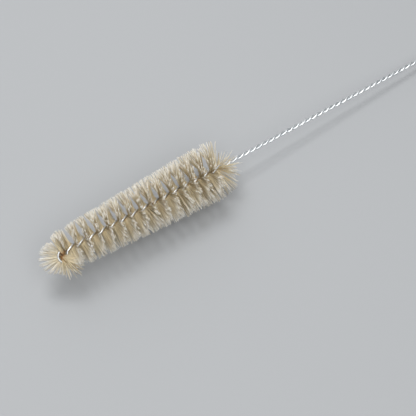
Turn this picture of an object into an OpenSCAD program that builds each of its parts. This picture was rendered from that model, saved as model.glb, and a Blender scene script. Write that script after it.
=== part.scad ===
// Twisted-wire bottle brush.
// One length of galvanised wire is folded double. Its two legs are twisted left-handed round the
// middles of the bristles, so that these stand out as a two-start spiral. Then they go on as a bare
// stem, and end in a hanging loop. The fold leaves an open eye, a little to one side, which holds
// the fan of bristles at the tip. On the near side of the eye these sweep back over it. The brush is
// drawn as it lies on a table, on the widest bristles and on the loop.

/* [Wire] */
// Diameter of the wire
wire_d = 1.2; // [1:0.1:1.3]
// From the fold at the tip to the far side of the hanging loop
wire_span = 340; // [260:5:420]
// Length of one full twist between the bristles
head_pitch = 14; // [12:0.5:18]
// Length of one full twist in the bare stem
stem_pitch = 9; // [7.5:0.5:12]
// Space that the bristles hold open between the legs
bristle_gap = 0.6; // [0.55:0.05:0.8]
// Space between the legs in the bare stem
stem_gap = 0.1; // [0.05:0.05:0.3]
// Width of the opening in the eye at the tip
eye_w = 5.6; // [4.6:0.2:6.4]
// How far the middle of the eye lies to one side of the brush's axis
eye_drop = 2.4; // [1.6:0.2:2.8]

/* [Hanging loop] */
// Diameter of the loop, to the middle of the twisted pair
loop_d = 18; // [15:0.5:30]
// Radius of the bend that leads into the loop
neck_r = 4; // [3:0.5:6]
// Angle between the loop's cut end and the point where it would meet the stem
loop_open = 12; // [8:1:40]

/* [Bristles] */
// Half-turns of the spiral that carry bristles
tuft_count = 15; // [8:1:20]
// Bunches of bristles in each half-turn
bunch_count = 12; // [8:1:12]
// Bristle diameter of the head near the tip
head_tip_d = 24; // [18:1:30]
// Bristle diameter of the head next to the stem
head_stem_d = 35; // [28:1:44]
// Diameter of a bunch at its trimmed ends
bunch_tip_d = 2; // [1:0.1:2.4]

/* [Tip fan] */
// Reach of the fan straight ahead, from the middle of the eye
fan_reach = 13.5; // [11:0.5:16]
// Reach of the outermost bunches of the fan, from the middle of the eye
fan_side_reach = 10.5; // [8:0.5:14]
// Bunches in the fan
fan_count = 10; // [6:1:11]
// Angle from the first bunch of the fan to the last
fan_spread = 125; // [100:5:140]
// Diameter of a fan bunch at its trimmed ends
fan_tip_d = 2.4; // [1:0.1:2.5]
// Length of the swept-back halves of the fan bunches
back_len = 11; // [6:0.5:12]
// Diameter of a swept-back half at its trimmed end
back_tip_d = 1; // [0.6:0.1:1.1]

/* [Hidden] */

wire_colour = "silver";
bristle_colour = "wheat";

// Wire: half the distance between the legs' centre lines, along the brush
wire_r = wire_d / 2;
eye_half = eye_w / 2 + wire_r;
head_half = bristle_gap / 2 + wire_r;
stem_half = stem_gap / 2 + wire_r;
pair_r = stem_half + wire_r;

// Places along the pair's centre line, from the fold. The legs leave the eye over eye_run
eye_x = eye_half + wire_r;
eye_run = 3.2;
eye_to_twist = 1.4;
twist_to_head = 0.5;
twist_x = eye_x + eye_to_twist;
head_x = twist_x + twist_to_head;
half_turn = head_pitch / 2;
head_len = tuft_count * half_turn;
head_end_x = head_x + head_len;
closing_len = 4;

// Hanging loop: a short bend out, then the ring back round to the stem
loop_r = loop_d / 2;
loop_x = wire_span - loop_r - pair_r;
bend_x = loop_x - sqrt(loop_r * loop_r + 2 * loop_r * neck_r);
bend_turn = asin((loop_x - bend_x) / (loop_r + neck_r));
bend_len = PI * neck_r * bend_turn / 180;
ring_turn = bend_turn + 270 - loop_open;
ring_len = PI * loop_r * ring_turn / 180;
pair_len = bend_x + bend_len + ring_len;

// Facets of the wire, which keep the area of its round section
wire_sides = 6;
wire_facet_r = wire_r * sqrt(2 * PI / (wire_sides * sin(360 / wire_sides)));
rings_per_turn = 9;
bend_rings = 7;
bunch_fn = 16;

// How the brush lies: the eye's plane leans this much from level
eye_roll = 26.5;

// Bunches: spacing along the wire, and the straight neck between the legs. The neck clears both
// legs, and the next bunch too
bunch_step = half_turn / bunch_count;
grip_clear = 0.1;
neck_share = 0.7;
bunch_neck_d = min(bristle_gap - 2 * grip_clear, neck_share * bunch_step);
bunch_neck_len = 2 * (head_half + wire_r);

// Fan: the bunches pass through the eye on a ring that clears the wire. Each neck fills its share
// of the space that a bunch has on the ring, and each trimmed end at most its share of the rim
fan_step = fan_spread / (fan_count - 1);
fan_neck_share = 0.5;
fan_neck_per_r = fan_neck_share * fan_step * PI / 180;
fan_ring_r = (eye_w / 2 - grip_clear) / (1 + fan_neck_per_r / 2);
fan_neck_d = fan_neck_per_r * fan_ring_r;
fan_tip_share = 0.95;
fan_trim_d = min(fan_tip_d, fan_tip_share * fan_step * PI / 180 * min(fan_reach, fan_side_reach));
fan_bend_r = 0.6;
fan_clear = wire_r;
fan_sides = 8;
fan_bend_steps = 4;

// The swept-back halves lie in two layers, those of the first bunches above those of the last.
// Directions of the middle and of the outermost ones in the eye's plane, and each layer's rise
back_middle = 74;
back_outer = 116;
back_rise = [28, 14];
back_stack = 0.7;

// Twist of the legs, in turns and in degrees
function twist_turns(x) =
    x < twist_x ? 0
    : x < head_end_x ? (x - twist_x) / head_pitch
    : (head_end_x - twist_x) / head_pitch + (x - head_end_x) / stem_pitch;
function leg_angle(x) = eye_roll - 360 * twist_turns(x);

// A smooth step from 0 to 1 as x goes from a to b
function ramp(x, a, b) = let (t = min(1, max(0, (x - a) / (b - a)))) t * t * (3 - 2 * t);
function leg_half(x) =
    x < head_end_x
    ? eye_half + (head_half - eye_half) * ramp(x, eye_x, eye_x + eye_run)
    : head_half + (stem_half - head_half) * ramp(x, head_end_x, head_end_x + closing_len);

// How far the pair's centre line hangs to the eye's lower side, as an offset
function hang(x) = -eye_drop * (1 - ramp(x, eye_x, eye_x + eye_run)) * leg_side(0);

// Heading of the pair's centre line in the loop's plane, and a point on it
function heading(x) =
    x < bend_x ? 0
    : x < bend_x + bend_len ? (x - bend_x) / neck_r * 180 / PI
    : bend_turn - (x - bend_x - bend_len) / loop_r * 180 / PI;
function centre(x) =
    let (h = heading(x))
    x < bend_x ? [x, 0, 0] + hang(x)
    : x < bend_x + bend_len ? [bend_x + neck_r * sin(h), neck_r * (1 - cos(h)), 0]
    : [loop_x - loop_r * sin(h), loop_r * cos(h), 0];

// Direction from the pair's centre line to one leg
function leg_side(x) =
    let (h = heading(x), a = leg_angle(x))
    [-sin(h) * cos(a), cos(h) * cos(a), sin(a)];

// Places where a leg has a ring of points: close behind the eye, then even along each twist
eye_rings = 7;
eye_step = eye_run / eye_rings;
ring_lead = 0.3;
leg_places = concat(
    [for (x = [eye_x:eye_step:eye_x + eye_run]) x],
    [for (x = [eye_x + eye_run + head_pitch / rings_per_turn:head_pitch / rings_per_turn:head_end_x]) x],
    [for (x = [head_end_x + ring_lead:stem_pitch / rings_per_turn:pair_len - ring_lead]) x],
    [pair_len]
);

// The whole wire as a line: at each place a point, the direction away from the pair's middle,
// and the radius there
function backwards(list) = [for (i = [len(list) - 1:-1:0]) list[i]];
function leg_line(side) = [
    for (x = leg_places)
        [centre(x) + side * leg_half(x) * leg_side(x), side * leg_side(x), wire_facet_r]
];
function fold_line() = [
    for (i = [1:bend_rings])
        let (w = 90 - 180 * i / (bend_rings + 1), out = [-cos(w), 0, 0] + sin(w) * leg_side(0))
            [centre(eye_x) + eye_half * out, out, wire_facet_r]
];
wire_line = concat(backwards(leg_line(1)), fold_line(), leg_line(-1));

// One ring of points square to the line at place i
function unit(v) = v / norm(v);
function ring_points(line, i, sides) =
    let (
        ahead = line[min(i + 1, len(line) - 1)][0] - line[max(i - 1, 0)][0],
        across = unit(cross(ahead, line[i][1])),
        out = unit(cross(across, ahead))
    )
    [for (k = [0:sides - 1])
        let (a = (k + 0.5) * 360 / sides)
            line[i][0] + line[i][2] * (cos(a) * out + sin(a) * across)];

// Bunches of the spiral: place along the wire, direction, and half-length to the trimmed cone
function bunch_x(tuft, i) = head_x + ((tuft - 1) * bunch_count + i + 0.5) * bunch_step;
function bunch_angle(x) = leg_angle(x) + 90;
function trim_r(x) = (head_tip_d + (head_stem_d - head_tip_d) * (x - head_x) / head_len) / 2;

// A direction in the eye's plane: 0 is straight ahead, and it grows to the side the eye lies at
function in_eye(a) = [-cos(a), -sin(a), 0];

// Fan bunch i: from -1 for the first to 1 for the last, then its two directions and its reach
function fan_place(i) = 2 * i / (fan_count - 1) - 1;
function fan_turn(i) = fan_place(i) * fan_spread / 2;
function back_turn(i) = back_middle + (back_outer - back_middle) * abs(fan_place(i));
function back_layer(i) = fan_place(i) < 0 ? 0 : 1;
function fan_len(i) =
    fan_reach - (fan_reach - fan_side_reach) * pow(fan_place(i), 2) - fan_ring_r - fan_bend_r;

// A direction well away from both halves of the bunch, to which its rings are turned
function ring_ref(i) =
    let (middle = (fan_turn(i) + back_turn(i)) / 2, apart = back_turn(i) - fan_turn(i))
    in_eye(apart > 90 ? middle : middle + 90);

// Half of a fan bunch: out of the eye, through turn over the wire, then straight and spreading.
// The points lie in the eye's own axes. Up is 1 for the swept-back half and -1 for the fan itself
function fan_half_line(i, up, clear, toward, turn, length, tip_d) =
    let (seat = fan_ring_r * in_eye(fan_turn(i)), out = in_eye(toward), rise = [0, 0, up])
    concat(
        [for (k = [0:fan_bend_steps])
            let (w = turn * k / fan_bend_steps)
                [
                    seat + fan_bend_r * (1 - cos(w)) * out + (clear + fan_bend_r * sin(w)) * rise,
                    ring_ref(i),
                    fan_neck_d / 2
                ]],
        [[
            seat
                + (fan_bend_r * (1 - cos(turn)) + length * sin(turn)) * out
                + (clear + fan_bend_r * sin(turn) + length * cos(turn)) * rise,
            ring_ref(i),
            tip_d / 2
        ]]
    );
function fan_line(i) = concat(
    backwards(fan_half_line(
        i, 1, fan_clear + back_stack * (1 - back_layer(i)),
        back_turn(i), 90 - back_rise[back_layer(i)], back_len, back_tip_d
    )),
    fan_half_line(i, -1, fan_clear, fan_turn(i), 90, fan_len(i), fan_trim_d)
);

// Slope at which the brush lies: from the loop to the lowest trimmed end
function lowest_z(x) =
    trim_r(x) * abs(sin(bunch_angle(x))) + bunch_tip_d / 2 * abs(cos(bunch_angle(x)));
rest_slope = max([
    for (t = [1:tuft_count], i = [0:bunch_count - 1])
        let (x = bunch_x(t, i)) (lowest_z(x) - pair_r) / (wire_span - pair_r - x)
]);
lie_angle = atan(rest_slope);
tip_x = fan_reach - eye_x;
middle_x = (wire_span - tip_x) / 2;

function tuft_name(i) = str("bristle_tuft_", i < 10 ? "0" : "", i);

// Puts what is drawn along the X axis, tip at 0, where the brush lies on the table
module lay() {
    rise = (wire_span - pair_r) * sin(lie_angle) + pair_r * cos(lie_angle);
    translate([-middle_x * cos(lie_angle), 0, rise]) rotate([0, lie_angle, 0]) children();
}

// A closed tube of small flat faces along a line of points, outward directions and radii
module tube(line, sides) {
    n = len(line);
    points = [for (i = [0:n - 1]) each ring_points(line, i, sides)];
    walls = [
        for (i = [0:n - 2], k = [0:sides - 1])
            let (a = i * sides + k, b = i * sides + (k + 1) % sides)
                each [[a, b, b + sides], [a, b + sides, a + sides]]
    ];
    first = [for (k = [sides - 1:-1:0]) k];
    last = [for (k = [0:sides - 1]) (n - 1) * sides + k];
    polyhedron(points, concat([first, last], walls));
}

// A bunch of straight bristles, held at its middle and spreading to both trimmed ends
module bunch(half_len) {
    rotate_extrude($fn = bunch_fn)
        polygon([
            [0, -half_len],
            [bunch_tip_d / 2, -half_len],
            [bunch_neck_d / 2, -bunch_neck_len / 2],
            [bunch_neck_d / 2, bunch_neck_len / 2],
            [bunch_tip_d / 2, half_len],
            [0, half_len]
        ]);
}

module twisted_wire() {
    color(wire_colour) lay() tube(wire_line, wire_sides);
}

module tip_fan() {
    color(bristle_colour) lay()
        translate(centre(eye_x))
            rotate([eye_roll, 0, 0])
                for (i = [0:fan_count - 1])
                    tube(fan_line(i), fan_sides);
}

module bristle_tuft(tuft) {
    color(bristle_colour) lay()
        for (i = [0:bunch_count - 1])
            let (x = bunch_x(tuft, i))
                translate([x, 0, 0]) rotate([bunch_angle(x) - 90, 0, 0]) bunch(trim_r(x));
}

twisted_wire();
tip_fan();
for (i = [1:tuft_count]) bristle_tuft(i);
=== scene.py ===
import bpy
import numpy as np
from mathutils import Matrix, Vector


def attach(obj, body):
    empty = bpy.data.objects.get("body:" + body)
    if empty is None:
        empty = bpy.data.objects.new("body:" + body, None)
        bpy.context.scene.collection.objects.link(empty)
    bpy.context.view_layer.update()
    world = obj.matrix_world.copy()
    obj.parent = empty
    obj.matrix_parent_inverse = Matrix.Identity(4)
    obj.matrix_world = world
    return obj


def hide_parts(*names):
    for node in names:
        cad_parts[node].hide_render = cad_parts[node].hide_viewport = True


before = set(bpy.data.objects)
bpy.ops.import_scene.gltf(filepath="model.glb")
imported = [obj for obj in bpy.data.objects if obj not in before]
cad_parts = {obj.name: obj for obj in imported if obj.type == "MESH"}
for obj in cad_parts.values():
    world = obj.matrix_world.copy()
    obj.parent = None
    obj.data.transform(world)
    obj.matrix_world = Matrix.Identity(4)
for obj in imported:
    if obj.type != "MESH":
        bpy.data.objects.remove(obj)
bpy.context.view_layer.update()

print("frame loaded,", len(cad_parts), "nodes")

# The brush's own sizes, in millimetres and degrees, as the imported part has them
brush = {
    "wireDiameter": 1.2,
    "wireSpan": 340.0,  # fold at the tip to the far side of the hanging loop
    "headPitch": 14.0,  # one full twist between the bristles
    "stemPitch": 9.0,  # one full twist in the bare stem
    "bristleGap": 0.6,
    "stemGap": 0.1,
    "eyeWidth": 5.6,
    "eyeDrop": 2.4,  # the eye's middle lies this far to one side of the axis
    "eyeRoll": 26.5,  # the eye's plane leans this much from level
    "eyeRun": 3.2,  # the legs leave the eye over this length
    "eyeToTwist": 1.4,
    "twistToHead": 0.5,
    "closing": 4.0,  # the legs close up over this length behind the head
    "loopDiameter": 18.0,
    "neckRadius": 4.0,
    "loopOpen": 12.0,  # degrees left open where the ring comes back to the stem
    "tufts": 15,
    "bunches": 12,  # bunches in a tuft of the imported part
    "bunchTip": 2.0,
    "headTipDiameter": 24.0,
    "headStemDiameter": 35.0,
    "fanReach": 13.5,  # straight ahead, from the eye's middle
    "fanSideReach": 10.5,
    "fanSpread": 125.0,  # degrees from the first bunch to the last
}

wireRadius = brush["wireDiameter"] / 2
eyeHalf = brush["eyeWidth"] / 2 + wireRadius
headHalf = brush["bristleGap"] / 2 + wireRadius
stemHalf = brush["stemGap"] / 2 + wireRadius
pairRadius = stemHalf + wireRadius

eyeX = eyeHalf + wireRadius
twistX = eyeX + brush["eyeToTwist"]
headX = twistX + brush["twistToHead"]
halfTurn = brush["headPitch"] / 2
headLength = brush["tufts"] * halfTurn
headEndX = headX + headLength

loopRadius = brush["loopDiameter"] / 2
loopX = brush["wireSpan"] - loopRadius - pairRadius
bendX = loopX - np.sqrt(loopRadius**2 + 2 * loopRadius * brush["neckRadius"])
bendTurn = np.arcsin((loopX - bendX) / (loopRadius + brush["neckRadius"]))
bendLength = brush["neckRadius"] * bendTurn
ringTurn = bendTurn + np.radians(270 - brush["loopOpen"])
pairLength = bendX + bendLength + loopRadius * ringTurn


# A smooth step: 3t squared less 2t cubed, with t from 0 at start to 1 at end
def ease(value, start, end):
    t = np.clip((value - start) / (end - start), 0, 1)
    return t * t * (3 - 2 * t)


# The legs' turn about the pair's middle: falls by a full turn in each pitch
def legAngle(along):
    inHead = (np.clip(along, twistX, headEndX) - twistX) / brush["headPitch"]
    inStem = np.maximum(along - headEndX, 0) / brush["stemPitch"]
    return np.radians(brush["eyeRoll"]) - 2 * np.pi * (inHead + inStem)


# Half the distance between the legs: the eye's, then the head's, then the stem's
def legHalf(along):
    toHead = eyeHalf + (headHalf - eyeHalf) * ease(along, eyeX, eyeX + brush["eyeRun"])
    toStem = (stemHalf - headHalf) * ease(along, headEndX, headEndX + brush["closing"])
    return toHead + toStem


# Which way the pair's middle line runs: straight, then a bend out, then the ring back round
# to the stem. In the bend and the ring the angle changes by the length over the radius.
def heading(along):
    inBend = (along - bendX) / brush["neckRadius"]
    inRing = bendTurn - (along - bendX - bendLength) / loopRadius
    return np.where(along < bendX, 0, np.where(along < bendX + bendLength, inBend, inRing))


# The pair's middle line itself: the axis, then an arc about the bend's centre, then one about
# the ring's. In the eye it lies to one side by the eye's drop, and it eases back to the axis as
# the legs close.
def pairMiddle(along):
    turn = heading(along)
    straight = along < bendX
    bending = along < bendX + bendLength
    neck = brush["neckRadius"]
    ringX = loopX - loopRadius * np.sin(turn)
    ringY = loopRadius * np.cos(turn)
    x = np.where(straight, along, np.where(bending, bendX + neck * np.sin(turn), ringX))
    y = np.where(straight, 0, np.where(bending, neck * (1 - np.cos(turn)), ringY))
    hang = -brush["eyeDrop"] * (1 - ease(along, eyeX, eyeX + brush["eyeRun"]))
    return np.stack([x, y, np.zeros_like(x)], -1) + hang[:, None] * legSide(np.zeros(1))


# From the middle line towards the first leg: across the line, turned about it by the leg angle
def legSide(along):
    turn, angle = heading(along), legAngle(along)
    return np.stack(
        [-np.sin(turn) * np.cos(angle), np.cos(turn) * np.cos(angle), np.sin(angle)], -1
    )


# Radius that the bristles are trimmed to: it grows evenly from the tip to the stem
def trimRadius(along):
    share = (along - headX) / headLength
    return (brush["headTipDiameter"] + (brush["headStemDiameter"] - brush["headTipDiameter"]) * share) / 2


# The slope at which the brush lies: a line from the loop under the lowest trimmed bunch
bunchCount = brush["tufts"] * brush["bunches"]
bunchX = headX + (np.arange(bunchCount) + 0.5) * halfTurn / brush["bunches"]
bunchAngle = legAngle(bunchX) + np.pi / 2
lowestZ = trimRadius(bunchX) * abs(np.sin(bunchAngle)) + brush["bunchTip"] / 2 * abs(np.cos(bunchAngle))
lieAngle = np.arctan(np.max((lowestZ - pairRadius) / (brush["wireSpan"] - pairRadius - bunchX)))
middleX = (brush["wireSpan"] - (brush["fanReach"] - eyeX)) / 2
tipRise = (brush["wireSpan"] - pairRadius) * np.sin(lieAngle) + pairRadius * np.cos(lieAngle)


# From the brush's own axes to the table's: a turn by the lie angle about Y, and a shift that puts
# the middle of its length over the origin and its lowest points on the table
def layDown(points):
    x, y, z = points[..., 0], points[..., 1], points[..., 2]
    cosine, sine = np.cos(lieAngle), np.sin(lieAngle)
    return np.stack([(x - middleX) * cosine + z * sine, y, z * cosine - x * sine + tipRise], -1)


# Each vector divided by its own length
def unit(vectors):
    return vectors / np.linalg.norm(vectors, axis=-1, keepdims=True)


bristleMap = "OFBake"  # the export keeps a UV map of this name
toneWidth = 0.02  # how much of the tone's range one bristle's map covers


# Closed tubes, all in one mesh. Each ring point is the centre plus the radius times
# (cosine times out plus sine times across): out is square to the tube and nearest to
# firstSide, and across is square to both. The centres are in the table's axes, in mm.
def tubePiece(name, centres, radii, firstSide, sides, alongMap=None, toneMap=None):
    count, rings = centres.shape[:2]
    ahead = unit(np.gradient(centres, axis=1))
    across = unit(np.cross(ahead, firstSide))
    out = np.cross(across, ahead)
    turn = (np.arange(sides) + 0.5) * 2 * np.pi / sides
    ringOut = np.cos(turn)[:, None] * out[:, :, None] + np.sin(turn)[:, None] * across[:, :, None]
    points = centres[:, :, None] + radii[:, :, None, None] * ringOut

    index = np.arange(count * rings * sides).reshape(count, rings, sides)
    after = np.roll(index, -1, axis=2)
    walls = np.stack([index[:, :-1], after[:, :-1], after[:, 1:], index[:, 1:]], -1).reshape(-1, 4)
    caps = np.concatenate([index[:, 0, ::-1], index[:, -1]])
    corners = np.concatenate([walls.ravel(), caps.ravel()])
    sizes = np.concatenate([np.full(len(walls), 4), np.full(len(caps), sides)])

    mesh = bpy.data.meshes.new(name)
    mesh.vertices.add(points.size // 3)
    mesh.vertices.foreach_set("co", (points * 0.001).astype(np.float32).ravel())
    mesh.loops.add(len(corners))
    mesh.loops.foreach_set("vertex_index", corners.astype(np.int32))
    mesh.polygons.add(len(sizes))
    mesh.polygons.foreach_set("loop_start", (np.cumsum(sizes) - sizes).astype(np.int32))
    smooth = np.arange(len(sizes)) < len(walls)
    mesh.polygons.foreach_set("use_smooth", smooth)
    mesh.update(calc_edges=True)
    mesh.validate()

    if alongMap is not None:
        # u runs along the bristle, and v is its tone, a little higher or lower from side to side
        spread = np.abs((np.arange(sides) / sides) * 2 - 1) * toneWidth
        u = np.broadcast_to(alongMap[:, :, None], index.shape)
        v = np.broadcast_to((toneMap[:, None, None] * (1 - toneWidth)) + spread, index.shape)
        places = np.stack([u.ravel(), v.ravel()], -1)[corners]
        layer = mesh.uv_layers.new(name=bristleMap)
        layer.data.foreach_set("uv", places.astype(np.float32).ravel())

    piece = bpy.data.objects.new(name, mesh)
    bpy.context.scene.collection.objects.link(piece)
    return piece


# An sRGB hex colour as linear numbers
def fromHex(code):
    values = np.array([int(code[i:i + 2], 16) for i in (1, 3, 5)]) / 255
    linear = np.where(values <= 0.04045, values / 12.92, ((values + 0.055) / 1.055) ** 2.4)
    return (*linear, 1.0)


# One node with its settings, its plain inputs and its links
def addNode(tree, kind, settings=None, values=None, links=None):
    node = tree.nodes.new(kind)
    for name, value in (settings or {}).items():
        setattr(node, name, value)
    for name, value in (values or {}).items():
        node.inputs[name].default_value = value
    for name, source in (links or {}).items():
        tree.links.new(source, node.inputs[name])
    return node


# A material and its empty node tree
def newMaterial(name):
    material = bpy.data.materials.new(name)
    material.use_nodes = True
    material.node_tree.nodes.clear()
    return material, material.node_tree


# Gives a colour ramp its stops: pairs of a place from 0 to 1 and a hex colour
def setRamp(node, stops):
    ramp = node.color_ramp
    while len(ramp.elements) < len(stops):
        ramp.elements.new(0.5)
    for element, (place, colour) in zip(ramp.elements, stops):
        element.position = place
        element.color = fromHex(colour)


# Galvanised steel wire: drawn, zinc-coated, bright and slightly cloudy along its length
def galvanisedSteel():
    look = {
        "zincColours": [(0.35, "#D0D4D7"), (0.6, "#F0F2F3")],  # cloudy to bright
        "cloudSize": 2.5,  # mm
        "cloudDetail": 3.0,
        "grainSize": 0.25,  # mm
        "grainDetail": 2.0,
        "grainEdges": (0.35, 0.65),  # noise at which the roughness is least, and most
        "roughness": (0.32, 0.46),
        "grainHeight": 0.01,  # mm
        "grainStrength": 0.4,
    }
    material, tree = newMaterial("galvanisedSteel")
    place = addNode(tree, "ShaderNodeTexCoord")
    clouds = addNode(
        tree, "ShaderNodeTexNoise",
        values={"Scale": 1000 / look["cloudSize"], "Detail": look["cloudDetail"]},
        links={"Vector": place.outputs["Object"]},
    )
    grain = addNode(
        tree, "ShaderNodeTexNoise",
        values={"Scale": 1000 / look["grainSize"], "Detail": look["grainDetail"]},
        links={"Vector": place.outputs["Object"]},
    )
    zinc = addNode(tree, "ShaderNodeValToRGB", links={"Fac": clouds.outputs["Fac"]})
    setRamp(zinc, look["zincColours"])
    rough = addNode(
        tree, "ShaderNodeMapRange",
        values={
            "From Min": look["grainEdges"][0],
            "From Max": look["grainEdges"][1],
            "To Min": look["roughness"][0],
            "To Max": look["roughness"][1],
        },
        links={"Value": grain.outputs["Fac"]},
    )
    bump = addNode(
        tree, "ShaderNodeBump",
        values={"Strength": look["grainStrength"], "Distance": look["grainHeight"] * 0.001},
        links={"Height": grain.outputs["Fac"]},
    )
    surface = addNode(
        tree, "ShaderNodeBsdfPrincipled",
        values={"Metallic": 1.0},
        links={
            "Base Color": zinc.outputs["Color"],
            "Roughness": rough.outputs["Result"],
            "Normal": bump.outputs["Normal"],
        },
    )
    addNode(tree, "ShaderNodeOutputMaterial", links={"Surface": surface.outputs["BSDF"]})
    return material


# Bleached hog bristle: keratin, waxy and half matt, a little light passing through it. It is
# brown where the wire grips it, partly its own root colour and partly painted shade, then cream,
# and nearly white at its cut ends.
def hogBristle():
    look = {
        "alongColours": [  # 0 where the wire grips it, 1 at its ends
            # the darkest brown of the first two stops is painted shade: the hollow inside the eye, where
            # the fan's bristles pass through
            (0.0, "#6E4824"),
            (0.02, "#B5854F"),
            (0.06, "#EBD5AC"),
            (0.12, "#F4E5C3"),
            (0.35, "#F3E5C6"),
            (0.6, "#F2E6CB"),
            (0.85, "#F6F0E3"),
            (1.0, "#FAF8F4"),
        ],
        "toneColours": [(0.0, "#978B74"), (0.35, "#E9E3D7"), (1.0, "#FFFFFF")],  # over the others
        "roughness": 0.42,
        "ior": 1.55,
        "translucent": 0.3,
        "glowDepth": 0.6,  # mm
        "glowReach": (1.0, 0.8, 0.6),  # times the depth, for red, green and blue
    }
    material, tree = newMaterial("hogBristle")
    place = addNode(tree, "ShaderNodeUVMap", {"uv_map": bristleMap})
    parts = addNode(tree, "ShaderNodeSeparateXYZ", links={"Vector": place.outputs["UV"]})
    # twice u less one, and without its sign, is 0 at the wire and 1 at both ends
    fromMiddle = addNode(
        tree, "ShaderNodeMath", {"operation": "MULTIPLY_ADD"},
        values={1: 2.0, 2: -1.0},
        links={0: parts.outputs["X"]},
    )
    distance = addNode(tree, "ShaderNodeMath", {"operation": "ABSOLUTE"}, links={0: fromMiddle.outputs[0]})
    along = addNode(tree, "ShaderNodeValToRGB", links={"Fac": distance.outputs[0]})
    setRamp(along, look["alongColours"])
    tone = addNode(tree, "ShaderNodeValToRGB", links={"Fac": parts.outputs["Y"]})
    setRamp(tone, look["toneColours"])
    colour = addNode(
        tree, "ShaderNodeMix", {"data_type": "RGBA", "blend_type": "MULTIPLY"},
        values={0: 1.0},
        links={6: along.outputs["Color"], 7: tone.outputs["Color"]},
    )
    surface = addNode(
        tree, "ShaderNodeBsdfPrincipled",
        values={
            "Roughness": look["roughness"],
            "IOR": look["ior"],
            "Subsurface Weight": look["translucent"],
            "Subsurface Scale": look["glowDepth"] * 0.001,
            "Subsurface Radius": look["glowReach"],
        },
        links={"Base Color": colour.outputs[2]},
    )
    addNode(tree, "ShaderNodeOutputMaterial", links={"Surface": surface.outputs["BSDF"]})
    return material


# One length of wire as a swept tube: up one leg, round the fold and back along the other.
# A leg is the pair's middle line plus or minus half the distance between the legs, turned
# by the twist. The fold is half a circle in the eye's plane.
def twistedWire():
    wire = {
        "sides": 12,
        "eyeStep": 0.2,  # mm between rings
        "ringsPerTurn": 20,
        "foldRings": 24,
        "endBevel": 0.15,  # mm off the rim of a cut end
    }
    headStep = brush["headPitch"] / wire["ringsPerTurn"]
    stemStep = brush["stemPitch"] / wire["ringsPerTurn"]
    places = np.concatenate([
        np.arange(eyeX, eyeX + brush["eyeRun"], wire["eyeStep"]),
        np.arange(eyeX + brush["eyeRun"], headEndX, headStep),
        np.arange(headEndX, pairLength - wire["endBevel"] - stemStep / 2, stemStep),
        [pairLength - wire["endBevel"], pairLength],
    ])
    side = legSide(places)
    offset = legHalf(places)[:, None] * side
    swing = np.radians(90 - 180 * np.arange(1, wire["foldRings"] + 1) / (wire["foldRings"] + 1))
    eyeSide = legSide(np.zeros(1))
    foldOut = np.outer(-np.cos(swing), [1, 0, 0]) + np.sin(swing)[:, None] * eyeSide
    middle = pairMiddle(places)
    line = np.concatenate([
        (middle + offset)[::-1], eyeHalf * foldOut + middle[0], middle - offset,
    ])
    outward = np.concatenate([side[::-1], foldOut, -side])
    radii = np.full(len(line), wireRadius)
    radii[[0, -1]] -= wire["endBevel"]
    laid = layDown(line)[None]
    laidOut = (layDown(outward) - layDown(np.zeros(3)))[None]
    return tubePiece("twistedWire", laid, radii[None], laidOut, wire["sides"])


# What every bristle has, in a tuft or in the fan
strand = {
    "sides": 4,
    "thick": (0.25, 0.34),  # mm, at the root end
    "thin": (0.18, 0.25),  # mm, at the flag end
    "floorClear": 0.02,
    "floorBend": 0.35,  # mm over which a bristle on the table bends flat
    "floorReach": 6.0,  # times that: a bristle that is higher stays as it is
    "crowding": 1.3,  # above 1, the rings stand closer together at the wire
}


# Places of the rings along a bristle, from -1 at one cut end through 0 at the wire to 1 at the
# other: even steps raised to the power of the crowding
def ringPlaces(perEnd):
    outwards = np.linspace(0, 1, perEnd + 1)[1:] ** strand["crowding"]
    return np.concatenate([-outwards[::-1], [0], outwards])


# Diameters run evenly from the root end to the flag end, and either end may be the root
def strandRadii(rng, count, places):
    root = rng.uniform(*strand["thick"], count)
    flag = rng.uniform(*strand["thin"], count)
    share = (places + 1) / 2
    turned = rng.random(count) < 0.5
    share = np.where(turned[:, None], 1 - share, share)
    return (root[:, None] * (1 - share) + flag[:, None] * share) / 2


# Heights near or under the table are eased up to it: the bend times the logarithm of one plus
# the exponential of the height over the bend
def keepOffTable(points, radii):
    height = points[..., 2] - radii - strand["floorClear"]
    bend = strand["floorBend"]
    eased = bend * np.logaddexp(0, height / bend)
    lifted = np.where(height > strand["floorReach"] * bend, height, eased)
    points[..., 2] = lifted + radii + strand["floorClear"]
    return points


# The mean of values over each clump, given back to each bristle
def clumpMean(values, clump):
    return (np.bincount(clump, values) / np.bincount(clump))[clump]


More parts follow.
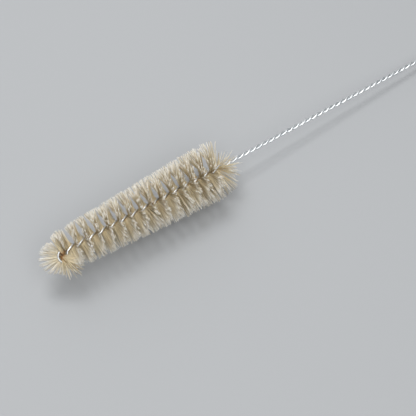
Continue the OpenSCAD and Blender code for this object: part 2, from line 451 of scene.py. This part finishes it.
# What the bristles of the tufts have
head = {
    "count": 280,  # bristles in the half-turn
    "ringsPerEnd": 5,
    "gapSpread": 0.17,  # mm across the gap
    "gapFlare": 3.0,  # times that, once out of the gap
    "gapTurn": (7.0, 12.0),  # degrees of spread in how a clump is turned, at tip and stem
    "gapTurnOwn": 2.0,  # and each bristle in it
    "bunches": 5,
    "bunchUneven": 0.3,  # of a bunch's length
    "bunchLean": (13.0, 22.0),  # degrees along the brush at a bunch's two sides, at tip and stem
    "flareSide": 26.6,  # degrees round the brush, where the bunches open widest
    "flareLeast": 0.2,  # share of the lean left a quarter turn away
    "flareBack": 0.55,  # and half a turn away
    "tilt": -9.5,  # degrees along the brush, of the upper half of an upright bristle
    "bunchTurn": 1.0,  # degrees round the brush
    "clumpSize": 2.6,  # bristles
    "clumpPull": (0.5, 0.95),  # share of the way to the clump's middle at the cut ends
    "clumpLean": 1.8,  # degrees of spread among the clumps, along the brush
    "clumpTurn": 1.0,  # and round it
    "ownLean": 0.8,  # and among the bristles of a clump, along the brush
    "ownTurn": 0.7,  # and round it
    "strayShare": 0.05,
    "strayTimes": 5.0,  # a stray strays this many times as far
    "endShare": (0.6, 1.0),  # share of endLean that a clump has
    "sparseFrom": 5.2,  # mm before the end of the head, where they start to thin out
    "sparseTo": 1.0,  # and where they are thinnest
    "sparseShare": 0.7,  # share of the bristles that are missing there
    "sparseTurn": 1.5,  # turned this much more freely at the end, as a share of gapTurn
    "sparseLean": 0.85,  # share of endLean that an upright one of them has
    "sparseShort": (0.25, 0.55),  # share of its length that it lacks
    "bow": 0.05,  # mm
    "trimSpread": 0.02,  # share of the radius
    "trimLimits": (-0.06, 0.03),
    "longest": 1.01,  # times the radius, however far it leans
    "clumpTone": 0.35,  # share of a bristle's tone that its clump has in common
    "seed": 43,
}


# How far, in degrees, the bristles may lean outwards where the head ends: towards the stem it
# grows as a power of the place in the last few mm, and towards the tip by a smooth step
def endLean(along):
    splay = {
        "stemEnd": 76.0,
        "stemLength": 5.4,  # mm
        "stemPower": 1.2,
        "tipEnd": -24.0,
        "tipLength": 7.0,  # mm
    }
    stemShare = ((along - headEndX) / splay["stemLength"] + 1).clip(0, 1)
    atStem = stemShare ** splay["stemPower"] * splay["stemEnd"]
    atTip = (1 - ease(along, headX, headX + splay["tipLength"])) * splay["tipEnd"]
    return atStem + atTip


# Where the bristles of a half-turn stand along the wire, how sparse they are there, from 0 to 1,
# the clump that each is in, and its angle round the brush, which is square to the legs
def standBristles(rng, start):
    count = head["count"]
    along = start + (np.arange(count) + rng.random(count)) * halfTurn / count
    # the last bristles by the stem are sparse, shorter and turned more freely
    sparse = ease(along, headEndX - head["sparseFrom"], headEndX - head["sparseTo"])
    kept = rng.random(count) < 1 - head["sparseShare"] * sparse
    along, sparse = along[kept], sparse[kept]
    count = len(along)
    freedom = 1 + head["sparseTurn"] * ease(along, headEndX - head["sparseFrom"], headEndX)
    clump = np.cumsum(rng.random(count) < np.maximum(1 / head["clumpSize"], sparse))
    clump -= clump[0]
    gapTurn = np.interp(along, [headX, headEndX], head["gapTurn"]) * rng.normal(0, 1, count)[clump]
    gapTurn = (gapTurn + rng.normal(0, head["gapTurnOwn"], count)) * freedom
    return along, sparse, clump, legAngle(along) + np.pi / 2 + np.radians(gapTurn)


# The bunch that each bristle opens out in, and its place there, from -1 at one side to 1
def openBunches(rng, start, along):
    edgeShare = np.arange(head["bunches"] + 1) / head["bunches"]
    edgeShare[1:-1] += rng.uniform(-1, 1, head["bunches"] - 1) * head["bunchUneven"] / head["bunches"]
    edges = start + edgeShare * halfTurn
    bunch = np.searchsorted(edges[1:-1], along)
    return bunch, 2 * (along - edges[bunch]) / (edges[bunch + 1] - edges[bunch]) - 1


# The lean along the brush, in degrees: the bunch's lean times the place in the bunch, times the
# squared cosine of the angle from the side where the bunches open widest. Then endLean, less for
# an upright bristle, the tilt, and the scatter of the clumps and of the bristles are added.
def leanAlong(rng, end, along, sparse, clump, angle, inBunch, stray):
    clumps = clump[-1] + 1
    fromFlare = angle - np.radians(head["flareSide"])
    toFlare = end * np.cos(fromFlare)
    flare = toFlare**2 * np.where(toFlare > 0, 1, head["flareBack"])
    flare = head["flareLeast"] + (1 - head["flareLeast"]) * flare
    standing = (end * np.sin(fromFlare)).clip(0, 1)
    lying = 1 - standing * (1 - head["sparseLean"] * sparse)
    lean = np.interp(along, [headX, headEndX], head["bunchLean"]) * flare * inBunch
    lean += endLean(along) * lying * rng.uniform(*head["endShare"], clumps)[clump]
    lean += head["tilt"] * end * np.sin(angle)
    lean += flare * rng.normal(0, head["clumpLean"], clumps)[clump]
    lean += stray * rng.normal(0, head["ownLean"], len(along))
    return lean


# One half-turn of the spiral. Each bristle runs straight out from the gap between the legs: a
# point's distance from the wire times the sine of the lean goes along the brush, and times the
# cosine goes outwards, at the bristle's angle round the brush. Clumps of a few bristles draw
# together in proportion to that distance.
def bristleTuft(tuft, material):
    rng = np.random.default_rng(head["seed"] + tuft)
    start = headX + (tuft - 1) * halfTurn
    along, sparse, clump, angle = standBristles(rng, start)
    count, clumps = len(along), clump[-1] + 1
    places = ringPlaces(head["ringsPerEnd"])
    outwards = abs(places)
    radii = strandRadii(rng, count, places)

    x = np.empty((count, len(places)))
    turn = np.empty_like(x)
    reach = np.empty_like(x)
    for end in (-1, 1):
        bunch, inBunch = openBunches(rng, start, along)
        pull = rng.uniform(*head["clumpPull"], clumps)[clump]
        stray = np.where(rng.random(count) < head["strayShare"], head["strayTimes"], 1)
        lean = leanAlong(rng, end, along, sparse, clump, angle, inBunch, stray)
        lean = np.radians(lean + pull * (clumpMean(lean, clump) - lean))
        # the angle round the brush at the cut end
        drift = rng.normal(0, head["bunchTurn"], head["bunches"])[bunch]
        drift += rng.normal(0, head["clumpTurn"], clumps)[clump]
        drift += stray * rng.normal(0, head["ownTurn"], count)
        tipTurn = angle + pull * (clumpMean(angle, clump) - angle) + np.radians(drift)
        # the length, trimmed to the head's outline
        uneven = rng.normal(0, head["trimSpread"], count).clip(*head["trimLimits"])
        length = trimRadius(along) * (1 + uneven)
        length *= np.minimum(1 / np.cos(lean), head["longest"])
        length *= 1 - sparse * rng.uniform(*head["sparseShort"], count)
        bow = rng.normal(0, head["bow"], count)
        mine = places * end >= 0
        share = outwards[mine]
        x[:, mine] = along[:, None] + (length * np.sin(lean))[:, None] * share
        x[:, mine] += (pull * (clumpMean(along, clump) - along))[:, None] * share
        x[:, mine] += bow[:, None] * 4 * share * (1 - share)
        turn[:, mine] = angle[:, None] + (tipTurn - angle)[:, None] * share
        reach[:, mine] = end * (length * np.cos(lean))[:, None] * share
    # their places across the gap, and the line of each in the brush's own axes
    across = rng.uniform(-head["gapSpread"], head["gapSpread"], count)[:, None]
    across = across * np.where(outwards > 0, head["gapFlare"], 1)
    line = np.stack([
        x,
        reach * np.cos(turn) - across * np.sin(angle)[:, None],
        reach * np.sin(turn) + across * np.cos(angle)[:, None],
    ], -1)
    laid = keepOffTable(layDown(line), radii)
    alongMap = np.broadcast_to((places + 1) / 2, (count, len(places)))
    tones = head["clumpTone"] * rng.random(clumps)[clump] + (1 - head["clumpTone"]) * rng.random(count)
    name = f"bristleTuft{tuft:02d}"
    piece = tubePiece(name, laid, radii, np.array([1.0, 0, 0]), strand["sides"], alongMap, tones)
    piece.data.materials.append(material)
    return piece


# The fan at the tip. Each bristle passes through the eye, square to its plane. Below the eye,
# the far side, it turns over a small bend into one of the rays. Above it, the near side, most
# are swept back over the eye, those of the rays nearest the eye's higher side are swept up
# beside the head, and a few are loose. A side's points are the bend times the hyperbolic
# tangent of the run over the bend, along the eye's normal, and the rest of the run along the
# new direction. Turns are in degrees in the eye's plane, from straight ahead, less than nought
# towards the eye's higher side.
def tipFan(material):
    fan = {
        "count": 400,
        "ringsPerEnd": 7,
        "rays": 10,
        "rayWidth": 0.55,  # of the space between rays
        "seat": (0.4, 2.6),  # mm from the middle of the eye
        "bend": (0.5, 0.9),  # mm
        "farDrop": (-3.0, 12.0),  # degrees below the eye's plane
        "farthest": 14.4,  # mm from the eye's middle, the longest ray
        "farthestTurn": -20.0,  # and its turn
        "nearTurn": (143.0, 10.0),  # middle and spread of those swept back
        "upTurn": (-88.0, 4.5),  # and of those swept up
        "upFrom": -26.0,  # a bristle whose own turn is less than this is swept up
        "upSeat": (-125.0, -62.0),  # turns at which the swept-up ones stand in the eye
        "looseTurn": (62.0, 118.0),
        "looseShare": 0.1,
        "nearRise": (3.0, 20.0),  # degrees above the eye's plane
        "nearLength": (9.5, 12.5),  # mm
        "upLength": 11.5,
        "looseLength": (11.0, 14.2),
        # the near side's high power holds the dark root stops over its first mm or so: painted shade of
        # the eye's hollow
        "alongPower": (0.45, 2.1),  # below 1, the colour pales sooner: far side, near side
        "tones": (0.35, 1.0),
        # painted shade: the loose ones, in the near bundle's shadow, get darker tones, and the tones fall
        # towards the eye's lower side, which is in shade
        "looseShadedTones": (0.1, 1.0),
        "lowerShadeTone": -0.3,  # added towards the eye's lower side
        "trimSpread": 0.03,  # share of the length
        "bow": 0.25,  # mm
        "normalSlant": 0.3,  # tips the normal that sets the strands' sides, so that none runs along it
        "seed": 7,
    }
    rng = np.random.default_rng(fan["seed"])
    count = fan["count"]
    places = ringPlaces(fan["ringsPerEnd"])
    radii = strandRadii(rng, count, places)
    side = legSide(np.zeros(1))
    normal = np.cross([1.0, 0, 0], side)

    # a unit vector in the eye's plane, at a turn from straight ahead
    def inEye(degrees):
        turn = np.radians(degrees)[:, None]
        return -np.cos(turn) * [1, 0, 0] - np.sin(turn) * side

    step = brush["fanSpread"] / (fan["rays"] - 1)
    angle = rng.uniform(-0.5, 0.5, count) * (brush["fanSpread"] + step)
    ray = (np.floor(angle / step) + 0.5) * step
    farTurn = ray + (angle - ray) * fan["rayWidth"]
    aside = np.minimum(abs(farTurn - fan["farthestTurn"]) * 2 / brush["fanSpread"], 1)
    reach = fan["farthest"] - (fan["farthest"] - brush["fanSideReach"]) * aside**2
    loose = rng.random(count) < fan["looseShare"]
    up = ~loose & (angle < fan["upFrom"])
    nearTurn = np.where(loose, rng.uniform(*fan["looseTurn"], count), rng.normal(*fan["nearTurn"], count))
    nearTurn = np.where(up, rng.normal(*fan["upTurn"], count), nearTurn)
    drop = np.radians(rng.uniform(*fan["farDrop"], count))[:, None]
    rise = np.radians(rng.uniform(*fan["nearRise"], count))[:, None]
    nearLength = rng.uniform(*fan["nearLength"], count)
    nearLength = np.where(loose, rng.uniform(*fan["looseLength"], count), nearLength)
    nearLength = np.where(up, fan["upLength"], nearLength)
    seatRadius = rng.uniform(*fan["seat"], count)
    seatTurn = np.where(up, rng.uniform(*fan["upSeat"], count), angle)
    seat = inEye(seatTurn) * seatRadius[:, None] + pairMiddle(np.full(1, eyeX))
    bend = rng.uniform(*fan["bend"], count)[:, None]
    farOut = inEye(farTurn) * np.cos(drop) - normal * np.sin(drop)
    nearOut = inEye(nearTurn) * np.cos(rise) + normal * np.sin(rise)
    line = np.empty((count, len(places), 3))
    for end, away, outward, length in (
        (-1, -normal, farOut, reach - seatRadius),
        (1, normal, nearOut, nearLength),
    ):
        mine = places * end >= 0
        share = abs(places[mine])
        run = (length * (1 + rng.normal(0, fan["trimSpread"], count)))[:, None] * share
        turned = bend * np.tanh(run / bend)
        bow = rng.normal(0, fan["bow"], (count, 1, 3)) * (4 * share * (1 - share))[:, None]
        line[:, mine] = seat[:, None] + turned[..., None] * away
        line[:, mine] += (run - turned)[..., None] * outward[:, None] + bow
    laid = layDown(line)
    power = np.where(places < 0, *fan["alongPower"])
    alongMap = np.broadcast_to((np.sign(places) * abs(places) ** power + 1) / 2, (count, len(places)))
    slanted = layDown(normal + side * fan["normalSlant"]) - layDown(np.zeros(3))
    firstSide = np.cross(np.gradient(laid, axis=1), slanted)
    # the darker tones of the loose ones and those towards the eye's lower side are painted shade
    tones = np.where(loose, rng.uniform(*fan["looseShadedTones"], count), rng.uniform(*fan["tones"], count))
    tones = (tones + fan["lowerShadeTone"] * ease(angle, 0, brush["fanSpread"] / 2)).clip(0, 1)
    piece = tubePiece("tipFan", laid, radii, firstSide, strand["sides"], alongMap, tones)
    piece.data.materials.append(material)
    return piece


# The pieces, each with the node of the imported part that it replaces
steel = galvanisedSteel()
bristle = hogBristle()

wirePiece = twistedWire()
wirePiece.data.materials.append(steel)
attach(wirePiece, "root")
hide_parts("twisted_wire")
print("wire made")

for number in range(1, brush["tufts"] + 1):
    tuftPiece = bristleTuft(number, bristle)
    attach(tuftPiece, "root")
    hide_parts(f"bristle_tuft_{number:02d}")
print("bristle tufts made")

fanPiece = tipFan(bristle)
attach(fanPiece, "root")
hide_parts("tip_fan")
print("tip fan made")


# A unit vector: azimuth 0 is along minus Y, and elevation is up from level
def directionTo(azimuth, elevation):
    a, e = np.radians(azimuth), np.radians(elevation)
    return Vector((np.sin(a) * np.cos(e), -np.cos(a) * np.cos(e), np.sin(e)))


# Stands a lamp or camera at a distance from the target, facing it
def aimFrom(thing, target, azimuth, elevation, distance):
    back = directionTo(azimuth, elevation)
    thing.location = Vector(target) + back * distance
    thing.rotation_euler = (-back).to_track_quat("-Z", "Y").to_euler()
    bpy.context.scene.collection.objects.link(thing)


# A square of matt pale card under the brush
def makeFloor():
    floor = {
        "half": 4.0,  # m, half its width
        "colour": "#AFB1B3",
        "roughness": 0.75,
    }
    half = floor["half"]
    mesh = bpy.data.meshes.new("floor")
    corners = [(-half, -half, 0), (half, -half, 0), (half, half, 0), (-half, half, 0)]
    mesh.from_pydata(corners, [], [(0, 1, 2, 3)])
    material, tree = newMaterial("paleCard")
    surface = addNode(
        tree, "ShaderNodeBsdfPrincipled",
        values={"Base Color": fromHex(floor["colour"]), "Roughness": floor["roughness"]},
    )
    addNode(tree, "ShaderNodeOutputMaterial", links={"Surface": surface.outputs["BSDF"]})
    mesh.materials.append(material)
    piece = bpy.data.objects.new("floor", mesh)
    bpy.context.scene.collection.objects.link(piece)


# Soft square lamps: a high one and a low, wide one behind the brush, and a wide one in front
def makeLamps():
    lamps = [  # name, azimuth, elevation, distance in m, size in m, watts
        ("keyLamp", 190, 72, 1.2, 0.5, 5.7),
        ("fillLamp", -25, 60, 1.4, 1.3, 10.0),
        ("rimLamp", 160, 38, 1.3, 1.2, 2.6),
    ]
    lit = (-0.08, 0, 0)  # m, the point of the table that they face
    for name, azimuth, elevation, distance, size, watts in lamps:
        lamp = bpy.data.lights.new(name, "AREA")
        lamp.shape = "SQUARE"
        lamp.size = size
        lamp.energy = watts
        aimFrom(bpy.data.objects.new(name, lamp), lit, azimuth, elevation, distance)


# Even, pale light from all round
def makeWorld():
    sky = {"colour": "#F2F4F6", "strength": 0.42}
    world = bpy.data.worlds.new("studio")
    world.use_nodes = True
    tree = world.node_tree
    tree.nodes.clear()
    light = addNode(
        tree, "ShaderNodeBackground",
        values={"Color": fromHex(sky["colour"]), "Strength": sky["strength"]},
    )
    addNode(tree, "ShaderNodeOutputWorld", links={"Surface": light.outputs["Background"]})
    bpy.context.scene.world = world


# A long lens that looks down on the head of the brush
def makeCamera():
    shot = {
        "target": (-0.07031, -0.01026, 0.0),  # the point of the table in the middle of the view
        "azimuth": -34.75,
        "elevation": 58.64,
        "distance": 0.813,
        "imageWidth": 416,  # pixels
        "focalPixels": 1400.0,
        "sensor": 36.0,  # mm
        "clipStart": 0.05,
    }
    lens = bpy.data.cameras.new("camera")
    lens.sensor_width = shot["sensor"]
    lens.lens = shot["focalPixels"] / shot["imageWidth"] * shot["sensor"]
    lens.clip_start = shot["clipStart"]
    camera = bpy.data.objects.new("camera", lens)
    aimFrom(camera, shot["target"], shot["azimuth"], shot["elevation"], shot["distance"])
    bpy.context.scene.camera = camera


makeFloor()
makeLamps()
makeWorld()
makeCamera()
bpy.context.scene.view_settings.view_transform = "Standard"
print("stage made")
